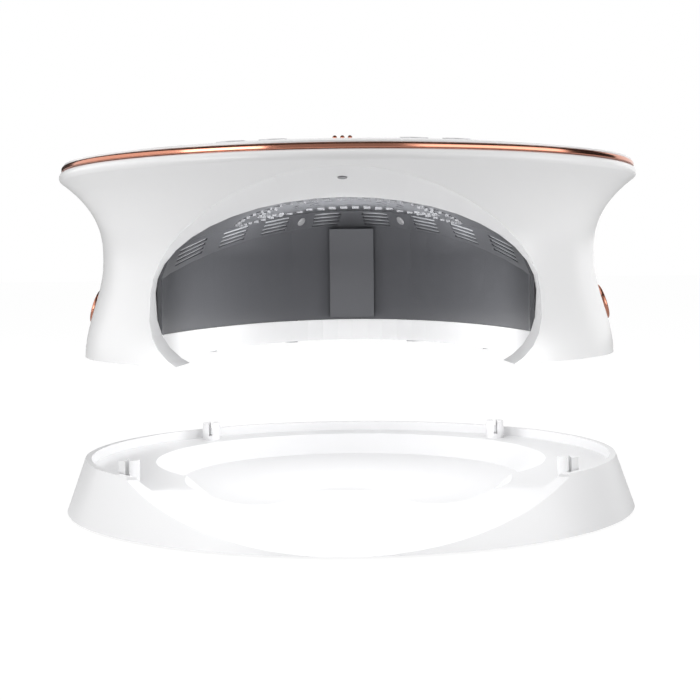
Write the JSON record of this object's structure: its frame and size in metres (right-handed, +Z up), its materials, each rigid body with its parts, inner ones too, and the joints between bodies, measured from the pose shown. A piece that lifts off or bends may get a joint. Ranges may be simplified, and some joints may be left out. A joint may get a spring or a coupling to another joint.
{
  "type": "uv nail lamp",
  "caption": "Oval UV nail lamp: a flared white head with an arched hand cavity, grey light liner, fan, timer keys and side buttons, lifted off its dished tray.",
  "frame": {"origin": "on the surface that the tray stands on, under the middle of the head and tray", "axes": "+Z up, -Y towards the hand opening (the front), +X to the right as seen from the front"},
  "size_m": [0.23, 0.2115, 0.1425],
  "materials": {
    "white_shell": "glossy white moulded plastic",
    "white_inner": "satin white moulded plastic",
    "foot_rubber": "matt",
    "screw_steel": "zinc plated",
    "rose_gold": "polished rose-gold plating",
    "liner_grey": "satin grey reflective coating",
    "light_guide": "frosted clear",
    "lens_clear": "clear moulded lens",
    "board_white": "white solder mask",
    "board_green": "green solder mask",
    "black_plastic": "satin black",
    "copper_wire": "enamelled copper winding",
    "display_black": "smoked glossy window",
    "key_white": "glossy",
    "capacitor_blue": "sleeved",
    "lead_red": "flexible sleeve",
    "lead_grey": "flexible sleeve"
  },
  "bodies": {
    "tray": {"tray_shell": "white_shell", "tray_base_plate": "white_inner", "tray_feet": "foot_rubber", "tray_screws": "screw_steel"},
    "head": {"outer_shell": "white_shell", "bottom_frame": "white_inner", "frame_screws": "screw_steel", "trim_ring": "rose_gold", "top_cover": "white_shell", "cover_screws": "screw_steel", "brow_studs": "rose_gold", "reflector": "liner_grey", "liner_screws": "screw_steel", "liner_rivets": "screw_steel", "duct_cover": "liner_grey", "light_guides": "light_guide", "led_bars": "board_white", "led_lenses": "lens_clear", "led_ring_board": "board_white", "sensor_lens": "lens_clear", "sensor_board": "board_green", "fan_frame": "black_plastic", "fan_screws": "screw_steel", "fan_motor": "copper_wire", "control_board": "board_green", "control_screws": "screw_steel", "key_switches": "black_plastic", "display_module": "black_plastic", "display_window": "display_black", "buzzer": "black_plastic", "driver_board": "board_green", "driver_screws": "screw_steel", "capacitors": "capacitor_blue", "choke": "copper_wire", "dc_jack": "black_plastic", "jack_lead": "black_plastic", "fan_lead": "lead_red", "ribbon_cable": "lead_grey", "side_lead_left": "lead_grey", "side_lead_right": "lead_grey", "side_bezel_left": "rose_gold", "side_bezel_right": "rose_gold", "button_spring_left": "screw_steel", "button_spring_right": "screw_steel", "switch_bracket_left": "white_inner", "switch_bracket_right": "white_inner", "side_switch_left": "black_plastic", "side_switch_right": "black_plastic"},
    "fan": {"fan_impeller": "black_plastic"},
    "key_1": {"timer_key_1": "key_white"},
    "key_2": {"timer_key_2": "key_white"},
    "key_3": {"timer_key_3": "key_white"},
    "key_4": {"timer_key_4": "key_white"},
    "power_button": {"side_button_left": "rose_gold"},
    "mode_button": {"side_button_right": "rose_gold"}
  },
  "joints": [
    {"name": "head_lift", "type": "slide", "parent": "tray", "child": "head", "axis": [0, 0, 1], "range_m": [-0.0397, 0]},
    {"name": "fan_spin", "type": "hinge", "parent": "head", "child": "fan", "pos_m": [0, 0.008, 0.1307], "axis": [0, 0, 1], "continuous": true},
    {"name": "key_1_press", "type": "slide", "parent": "head", "child": "key_1", "axis": [0, 0, -1], "range_m": [0, 0.0006], "stiffness_N_per_m": 1500, "springref_m": -0.0003},
    {"name": "key_2_press", "type": "slide", "parent": "head", "child": "key_2", "axis": [0, 0, -1], "range_m": [0, 0.0006], "stiffness_N_per_m": 1500, "springref_m": -0.0003},
    {"name": "key_3_press", "type": "slide", "parent": "head", "child": "key_3", "axis": [0, 0, -1], "range_m": [0, 0.0006], "stiffness_N_per_m": 1500, "springref_m": -0.0003},
    {"name": "key_4_press", "type": "slide", "parent": "head", "child": "key_4", "axis": [0, 0, -1], "range_m": [0, 0.0006], "stiffness_N_per_m": 1500, "springref_m": -0.0003},
    {"name": "power_button_press", "type": "slide", "parent": "head", "child": "power_button", "axis": [0.9563, 0, -0.2924], "range_m": [0, 0.0015], "stiffness_N_per_m": 600, "springref_m": -0.001, "deforming": ["button_spring_left"]},
    {"name": "mode_button_press", "type": "slide", "parent": "head", "child": "mode_button", "axis": [-0.9563, 0, -0.2924], "range_m": [0, 0.0015], "stiffness_N_per_m": 600, "springref_m": -0.001, "deforming": ["button_spring_right"]}
  ]
}
